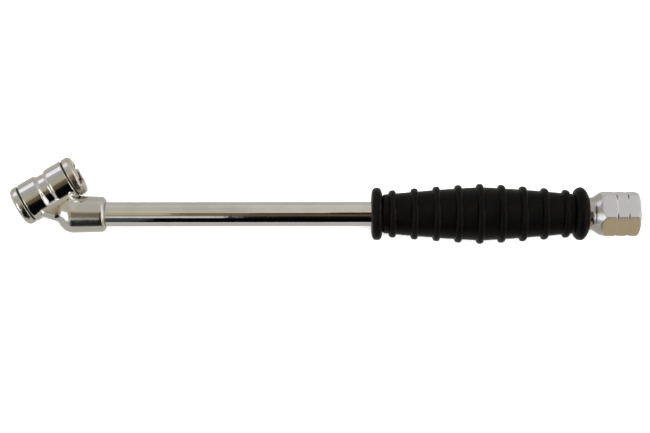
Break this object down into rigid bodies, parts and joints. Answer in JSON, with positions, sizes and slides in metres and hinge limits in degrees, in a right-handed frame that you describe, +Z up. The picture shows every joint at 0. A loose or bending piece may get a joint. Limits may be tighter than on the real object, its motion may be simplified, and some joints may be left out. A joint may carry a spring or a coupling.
{
  "type": "tyre inflating wand",
  "caption": "Chromed air-line wand with an angled twin-foot tyre valve chuck, a ribbed black rubber grip and a hexagonal female inlet.",
  "frame": {"origin": "bottom centre of the whole tool's box, on the surface it lies on", "axes": "+X along the tube from the chuck head to the air inlet, +Z up, square to the plane that holds the tube's and the barrel's axes, +Y towards the side that the pull end of the barrel points to"},
  "size_m": [0.2568, 0.0356, 0.0247],
  "materials": {
    "cast_chrome": "bright chrome plate over a smooth casting",
    "cap_chrome": "bright chrome plate over turned brass",
    "tube_chrome": "polished chrome plate on drawn steel tube",
    "hex_chrome": "satin chrome plate over milled hexagon bar",
    "grip_rubber": "matt moulded black rubber",
    "seal_rubber": "smooth black nitrile",
    "brass": "turned brass",
    "spring_steel": "drawn spring steel",
    "mesh_steel": "perforated stainless sheet"
  },
  "bodies": {
    "wand": {"head_body": "cast_chrome", "push_cap": "cap_chrome", "pull_cap": "cap_chrome", "push_cap_gasket": "seal_rubber", "pull_cap_gasket": "seal_rubber", "push_stem_seal": "seal_rubber", "pull_stem_seal": "seal_rubber", "push_seat_ring": "brass", "pull_seat_ring": "brass", "push_spring": "spring_steel", "pull_spring": "spring_steel", "tube": "tube_chrome", "tube_head_seal": "seal_rubber", "tube_inlet_seal": "seal_rubber", "grip": "grip_rubber", "inlet_connector": "hex_chrome", "filter_screen": "mesh_steel", "filter_ring": "spring_steel"},
    "push_valve": {"push_poppet": "brass", "push_poppet_seal": "seal_rubber"},
    "pull_valve": {"pull_poppet": "brass", "pull_poppet_seal": "seal_rubber"}
  },
  "joints": [
    {"name": "push_poppet_slide", "type": "slide", "parent": "wand", "child": "push_valve", "axis": [0.866, 0.5, 0], "range_m": [0, 0.0014], "stiffness_N_per_m": 1000, "springref_m": -0.0005, "deforming": ["push_spring"]},
    {"name": "pull_poppet_slide", "type": "slide", "parent": "wand", "child": "pull_valve", "axis": [-0.866, -0.5, 0], "range_m": [0, 0.0014], "stiffness_N_per_m": 1000, "springref_m": -0.0005, "deforming": ["pull_spring"]}
  ]
}
